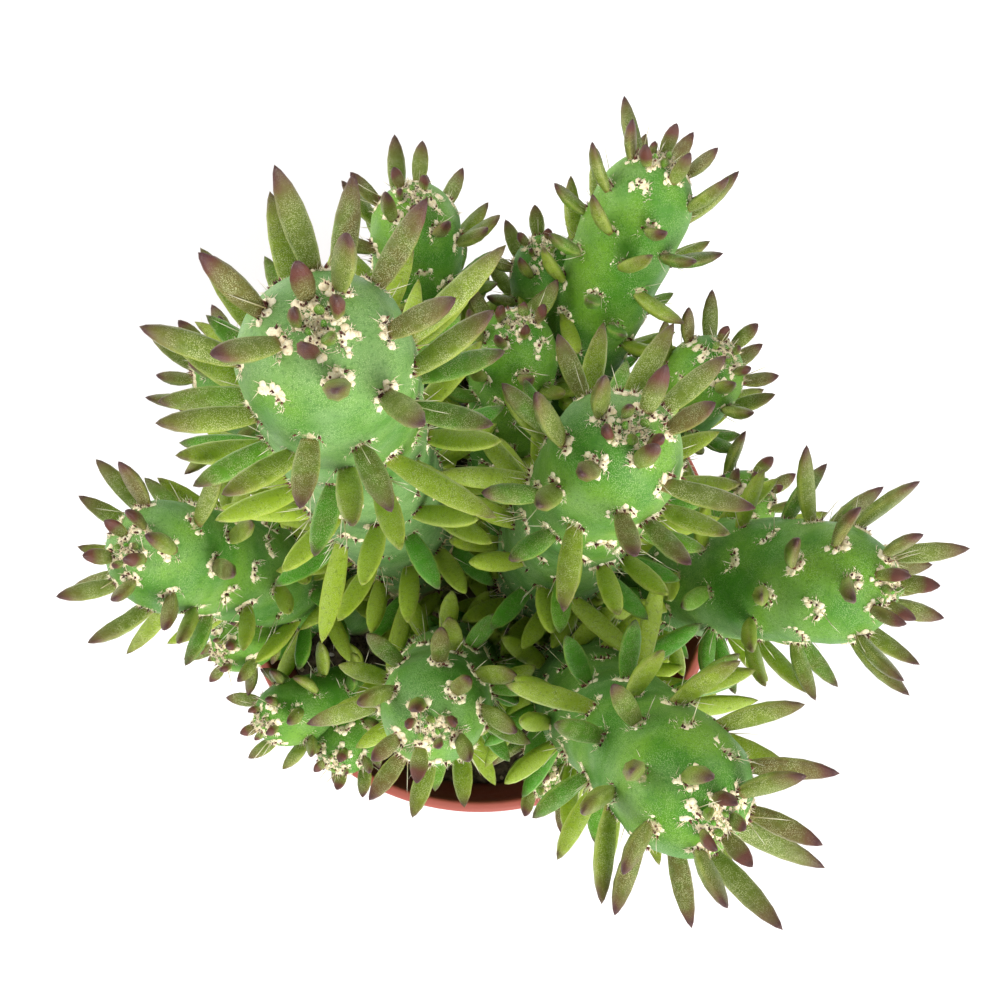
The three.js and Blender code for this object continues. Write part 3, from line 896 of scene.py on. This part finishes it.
def make_pot():
    under = POT_HEIGHT - LIP_HEIGHT
    inner = RIM_RADIUS - RIM_WALL
    lift, foot = FOOT_LIFT, FOOT_RADIUS
    ring = foot - FOOT_WIDTH
    profile = [(0, 0), (PAD_RADIUS - 0.5, 0), (PAD_RADIUS, 0.4)]
    profile += [(PAD_RADIUS + lift, lift), (PAD_RADIUS + 5, lift)]
    profile += [(ring - lift - 4, lift), (ring - lift, lift), (ring, 0.4)]
    profile += [(ring + 0.5, 0)] + arc(foot - 1, 1, 1, -90, 0, 4)
    profile += [(wall_radius(z), z) for z in np.linspace(3, under - 1, 12)]
    profile += [(wall_radius(under), under - 0.4), (wall_radius(under) + 0.5, under)]
    profile += arc(RIM_RADIUS - 0.7, under + 0.6, 0.6, -90, 0, 3)
    profile += [(RIM_RADIUS - 0.1, under + 2), (RIM_RADIUS - 0.05, under + LIP_HEIGHT / 2)]
    profile += arc(RIM_RADIUS - 1, POT_HEIGHT - 1, 1, 0, 90, 5)
    profile += arc(inner + 0.9, POT_HEIGHT - 0.9, 0.9, 90, 180, 5)
    profile += [(inner - 0.1, POT_HEIGHT - 4), (wall_radius(under) - WALL + 0.4, under - 1)]
    profile += [(wall_radius(z) - WALL, z) for z in np.linspace(under - 2.5, FLOOR + 2, 12)]
    profile += [(wall_radius(FLOOR) - WALL - 2, FLOOR)]
    profile += [(DRAIN_RING + 6, FLOOR), (DRAIN_RING - 6, FLOOR), (0, FLOOR)]
    pot = turned("nursery_pot", profile, POT_SIDES)
    bore = [(0, -2), (DRAIN_RADIUS, -2), (DRAIN_RADIUS, 9), (0, 9)]
    drills = [turned("drill", bore, 24) for _ in range(DRAINS)]
    for k, drill in enumerate(drills):
        angle = math.tau * k / DRAINS
        place = in_metres(DRAIN_RING * math.cos(angle), DRAIN_RING * math.sin(angle), 0)
        drill.data.transform(Matrix.Translation(place))
        cut = pot.modifiers.new("drain", "BOOLEAN")
        cut.operation, cut.solver, cut.object = "DIFFERENCE", "EXACT", drill
    plain(pot)
    for drill in drills:
        bpy.data.objects.remove(drill)
    places = np.array([v.co for v in pot.data.vertices]) / MM
    rings = np.hypot(places[:, 0], places[:, 1])
    walls = np.array([wall_radius(min(z, under)) for z in places[:, 2]])
    lip = places[:, 2] > under - 3
    # Points on the pot's inside, which the finish darkens as painted shade and marks with soil splash
    inside = np.where(lip, rings < inner + 0.2, (rings < walls - WALL / 2) & (places[:, 2] > FLOOR - 0.5))
    inside &= places[:, 2] < POT_HEIGHT - 1.5
    pot.data.attributes.new("inside", "FLOAT", "POINT").data.foreach_set("value", inside.astype(np.float32))
    dress(pot, pot_finish(), "pot", "pot")


def lump(x, y):
    return SOIL_LUMP * (math.sin(x / 6.1 + 0.7) * math.cos(y / 7.3) + 0.6 * math.sin((x + 2 * y) / 9.7))


def make_soil(stems):
    """The filling of the pot: a rough top, heaped a little round each stem and strewn with crumbs."""
    edge = wall_radius(SOIL_TOP) - WALL - 0.35
    profile = [(0, FLOOR + 0.3), (wall_radius(FLOOR) - WALL - 0.6, FLOOR + 0.3), (edge, SOIL_TOP - 0.8)]
    profile += [(r, SOIL_TOP) for r in np.linspace(edge - 0.8, 1.5, 36)] + [(0, SOIL_TOP)]
    soil = turned("peat_filling", profile, 110)
    feet = [s.start for s in stems if not s.parent]
    for point in soil.data.vertices:
        x, y, z = point.co / MM
        if z < SOIL_TOP - 3:
            continue
        heap = max(math.exp(-((math.hypot(x - f[0], y - f[1]) - 6) / 5) ** 2) for f in feet)
        rough = 0.7 * math.sin(x * 1.3 + 2 * math.sin(y * 0.9)) * math.cos(y * 1.1 + math.sin(x * 0.7))
        point.co.z = (z + lump(x, y) + 1.2 * heap + rough) * MM
    inputs = {"Template": lump_template("crumb form"), "Density": CRUMB_DENSITY, "Seed": 7}
    inputs.update(zip(("Smallest", "Largest"), CRUMB_SIZES))
    run_tree(soil, crumb_tree(), Finish=soil_finish(), **inputs)
    dress(soil, None, "soil", "soil")


# Skin


def skin_alongs(stem):
    """Where a stem's rings go: even on the column, closer over the dome."""
    shoulder = stem.length - DOME * stem.head
    low = 1.5 if stem.parent else -ROOT_DEPTH
    column = np.linspace(low, shoulder, round((shoulder - low) / SKIN_STEP))
    angles = np.linspace(0, math.pi / 2, DOME_STEPS + 1)[1:-1]
    return np.concatenate([column, shoulder + DOME * stem.head * np.sin(angles)])


def skin_of(stem, leaves):
    """Points, the number of rings and attributes of one stem's skin, with a low swelling under every leaf."""
    alongs = skin_alongs(stem)
    angles = np.linspace(0, math.tau, SKIN_SIDES, endpoint=False)
    along, angle = np.meshgrid(alongs, angles, indexing="ij")
    radius = np.array([stem.radius(a) for a in alongs])[:, None] * np.ones_like(angle)
    swell, felt = np.zeros_like(radius), np.zeros_like(radius)
    for leaf in leaves:
        turn = (angle - leaf.angle + math.pi) % math.tau - math.pi
        across = turn * np.maximum(radius, 2.0)
        rise = along - leaf.along
        size = min(1, 0.2 + leaf.depth / 16)
        reach = np.where(rise < -1.5, 6.5, 3.2)
        bump = np.exp(-((across / 3.6) ** 2) - ((rise + 1.5) / reach) ** 2)
        swell += TUBERCLE * size * bump
        patch = np.exp(-((across / 2.6) ** 2) - ((rise - 1.2) / 1.6) ** 2)
        felt = np.maximum(felt, patch * min(1, 0.35 + leaf.depth / 10))
    wave = 0.02 * np.sin(along / 13 + stem.number) + 0.012 * np.sin(angle * 3 + along / 21 + stem.number)
    radius = radius * (1 + wave) + swell
    frames = [stem.frame(a) for a in alongs]
    centres = np.array([stem.centre(a) for a in alongs])
    across = np.array([f[0] for f in frames])[:, None, :]
    other = np.array([f[2] for f in frames])[:, None, :]
    spoke = across * np.cos(angle)[..., None] + other * np.sin(angle)[..., None]
    points = (centres[:, None, :] + spoke * radius[..., None]).reshape(-1, 3)
    ends = np.array([stem.centre(alongs[0]), stem.end + unit(stem.end - stem.handle) * 0.15])
    # How far down from the tip, rising near the soil: the skin finish paints shade with it and turns the
    # lowest skin corky
    old = np.clip((stem.length - along) / 170, 0, 1) + 0.25 * np.clip(1 - along / 30, 0, 1)
    fields = {"felt": np.append(felt.ravel(), [0, 1]), "old": np.append(old.ravel(), [1, 0])}
    fields["bloom"] = np.full(len(fields["old"]), stem.bloom)
    return np.vstack([points, ends]), len(alongs), fields


def make_skin(node, stems, plans, finish):
    points, faces, marks = [], [], []
    for stem in stems:
        places, rings, fields = skin_of(stem, plans[stem])
        faces += column_faces(rings, SKIN_SIDES, sum(map(len, points)))
        points.append(places)
        marks.append(fields)
    joined = {key: np.concatenate([fields[key] for fields in marks]) for key in marks[0]}
    skin = mesh_object(node + "_skin", np.vstack(points), faces, **joined)
    smooth_outward(skin)
    dress(skin, finish, "plant", node)


# What grows from the skin


class Sprouts:
    """Points that the sprout tree grows a template from."""

    def __init__(self):
        self.rows = []

    def add(self, root, way, up, length, breadth, **marks):
        self.rows.append(dict(root=root, way=way, up=up, length=length, breadth=breadth, **marks))

    def grow(self, name, node, tree, template, bend, finish):
        columns = {key: np.array([row[key] for row in self.rows]) for key in self.rows[0]}
        roots = columns["root"]
        columns["root"] = roots * MM
        piece = mesh_object(node + "_" + name, roots, [], **columns)
        run_tree(piece, tree, Template=template, Bend=bend, Finish=finish)
        dress(piece, None, "plant", node)


def exposure(leaf):
    """How much sun a leaf gets: 1 at the heads, 0 deep between the stems."""
    place = leaf.point(0.6)
    open_side = max(0, (math.hypot(place[0], place[1]) - 40) / 40)
    high = (place[2] - 150) / 110
    near_tip = math.exp(-max(0, leaf.depth - 8) / 22)
    return min(1, max(0, 0.2 * open_side + 0.15 * high + 0.75 * near_tip))


def areole_sides(leaf):
    """The areole's place on the skin, the way across it and the way to the stem's tip."""
    toward = unit(leaf.up - leaf.normal * np.dot(leaf.up, leaf.normal) + leaf.out * 1e-6)
    side = np.cross(toward, leaf.normal)
    return leaf.root + leaf.normal * 0.35, side, toward


class Sprouting:
    """All that grows from the skin of one node's stems, kind by kind."""

    def __init__(self, node, stems, plans):
        self.node = node
        self.leaves, self.hairs, self.tufts, self.scales, self.spines = (Sprouts() for _ in range(5))
        for stem in stems:
            for leaf in plans[stem]:
                self.leaf = leaf
                self.dice = np.random.default_rng(1000 * stem.number + leaf.i)
                self.place, self.side, self.toward = areole_sides(leaf)
                self.size = min(1, 0.4 + leaf.i / 14)
                self.foot = 0.56 * leaf_breadth(leaf.full)
                self.add_leaf()
                self.add_wool()
                self.add_scales()
                self.add_spines()

    def grow(self, tree, templates, finishes):
        self.leaves.grow("leaves", self.node, tree, templates["leaf"], LEAF_BEND, finishes["leaf"])
        self.hairs.grow("wool_hairs", self.node, tree, templates["hair"], 0.5, finishes["wool"])
        self.tufts.grow("wool_tufts", self.node, tree, templates["tuft"], 0, finishes["wool"])
        self.scales.grow("scales", self.node, tree, templates["scale"], 0.2, finishes["scale"])
        self.spines.grow("spines", self.node, tree, templates["spine"], 0.12, finishes["spine"])

    def around(self, low, high):
        """A way along the skin, out from the areole's middle, between two angles in degrees."""
        angle = math.radians(self.dice.uniform(low, high))
        return self.side * math.cos(angle) + self.toward * math.sin(angle)

    def add_leaf(self):
        leaf = self.leaf
        if not leaf.bare:
            young = max(0, 1 - leaf.i / 5)
            red = 0.34 * math.exp(-(((leaf.i - 5.5) / 2.2) ** 2)) - 0.6 * young
            marks = dict(sun=exposure(leaf), tone=leaf.draw(5), young=young, red=red)
            self.leaves.add(leaf.root, leaf.way, leaf.up, leaf.length, leaf.breadth * 0.92, **marks)

    def add_wool(self):
        """A collar of lumps and short hairs, thickest round the upper side of a leaf's foot."""
        dice, size, normal = self.dice, self.size, self.leaf.normal
        age = min(1, self.leaf.depth / OLD_WOOL)
        further = self.leaf.depth >= NEAR_HEAD
        for _ in range(TUFTS[further]):
            flat = self.around(-35, 215)
            root = self.place + flat * (self.foot * 0.75 + dice.uniform(0.0, 1.5) * size) - normal * 0.35
            length, breadth = dice.uniform(0.4, 0.65) * size, dice.uniform(0.5, 0.95) * size
            way = unit(normal + flat * 0.2)
            self.tufts.add(root, way, self.toward, length, breadth, sun=age, tone=dice.uniform())
        for k in range(HAIRS[further]):
            flat = self.around(-50, 230)
            root = self.place + flat * (self.foot * 0.7 + dice.uniform(0.0, 1.9) * size) - normal * 0.25
            way = unit(normal * 0.7 + flat * dice.uniform(-0.1, 1.1) + dice.normal(0, 0.45, 3))
            length = dice.uniform(0.5, 1.0) * size * (1.8 if k % LONG_HAIR_EVERY == 0 else 1)
            bend = unit(dice.normal(0, 1, 3))
            self.hairs.add(root, way, bend, length, dice.uniform(0.07, 0.12), sun=age, tone=dice.uniform())

    def add_scales(self):
        """A few dry, dark bud scales between a leaf's foot and its wool."""
        dice, size = self.dice, self.size
        for _ in range(SCALES):
            flat = self.around(5, 175)
            root = self.place + flat * (self.foot + dice.uniform(0.0, 0.8) * size) - self.leaf.normal * 0.3
            way = unit(self.leaf.normal + flat * dice.uniform(-0.1, 0.6) + dice.normal(0, 0.2, 3))
            length, breadth = dice.uniform(0.9, 1.5) * size, dice.uniform(0.2, 0.34) * size
            self.scales.add(root, way, self.toward, length, breadth, tone=dice.uniform())

    def add_spines(self):
        """None to three long pale needles, and a few bristles, out of the axil."""
        dice, leaf = self.dice, self.leaf
        if leaf.i % SPINE_EVERY == 0 and leaf.solid and not leaf.bare:
            lean = np.cross(leaf.out, leaf.up) * SPINE_SPREAD * (leaf.draw(3) - 0.5)
            way = unit(leaf.out + leaf.up * SPINE_RISE + lean)
            root = leaf.root + leaf.up * AXIL - way
            self.spines.add(root, way, self.toward, SPINE_LENGTH + 1, LONG_SPINE_BREADTH, tone=leaf.draw(6))
        count = dice.integers(0, 2) if leaf.depth < 22 else dice.integers(0, 4)
        for k in range(count + BRISTLES):
            bristle = k >= count
            flat = self.around(10, 170)
            root = self.place + flat * 1.5 - leaf.normal * 0.6
            way = unit(leaf.normal * 0.9 + flat * dice.uniform(0.1, 1.1) + dice.normal(0, 0.12, 3))
            length = dice.uniform(*(BRISTLE_LENGTHS if bristle else NEEDLE_LENGTHS))
            length *= min(1, 0.4 + leaf.i / 16)
            breadth = BRISTLE_BREADTH if bristle else NEEDLE_BREADTH
            self.spines.add(root, way, self.toward, length, breadth, tone=dice.uniform())


def make_plant(stems, plans):
    tree = sprout_tree()
    templates = {
        "leaf": leaf_template(),
        "hair": hair_template(),
        "tuft": lump_template("tuft form"),
        "scale": needle_template("scale form", 4, (0.25,), (1,)),
        "spine": needle_template("spine form", 3, (0, 0.6), (1, 0.75)),
    }
    finishes = {
        "leaf": leaf_finish(),
        "wool": wool_finish(),
        "scale": scale_finish(),
        "spine": spine_finish(),
    }
    skin = skin_finish()
    for node in dict.fromkeys(stem.node for stem in stems):
        own = [stem for stem in stems if stem.node == node]
        make_skin(node, own, plans, skin)
        Sprouting(node, own, plans).grow(tree, templates, finishes)


def drop_templates():
    for piece in [p for p in bpy.data.objects if p.name.endswith(" form")]:
        bpy.data.objects.remove(piece)


# Studio


def make_floor():
    work = bmesh.new()
    bmesh.ops.create_grid(work, x_segments=1, y_segments=1, size=3)
    mesh = bpy.data.meshes.new("floor")
    work.to_mesh(mesh)
    work.free()
    floor = bpy.data.objects.new("floor", mesh)
    bpy.context.collection.objects.link(floor)
    f = Finish("white paper")
    f.set(Base_Color=f.mix(srgb(250, 250, 250), srgb(246, 246, 247), f.noise(3, 2)), Roughness=0.9)
    f.set(Specular_IOR_Level=0.1)
    floor.data.materials.append(f.material)


def area_light(name, place, size, power, aim=(0, 0, 0.12)):
    light = bpy.data.lights.new(name, "AREA")
    light.shape = "DISK"
    light.size = size
    light.energy = power
    lamp = bpy.data.objects.new(name, light)
    away = np.array(place) - np.array(aim)
    lamp.location = place
    yaw = math.atan2(away[1], away[0])
    lamp.rotation_euler = (0, math.acos(away[2] / np.linalg.norm(away)), yaw)
    bpy.context.collection.objects.link(lamp)


def make_lights():
    world = bpy.data.worlds.new("studio")
    world.use_nodes = True
    world.node_tree.nodes["Background"].inputs["Color"].default_value = (1, 1, 1, 1)
    world.node_tree.nodes["Background"].inputs["Strength"].default_value = 0.78
    bpy.context.scene.world = world
    area_light("key", (0.5, -0.7, 0.8), 0.7, 13)
    area_light("fill", (-0.8, 0.35, 0.7), 0.8, 7)
    view = bpy.context.scene.view_settings
    view.view_transform = "Standard"
    view.look = "None"


make_camera()
stems, plans = grow()
make_pot()
make_soil(stems)
make_plant(stems, plans)
drop_templates()
make_floor()
make_lights()
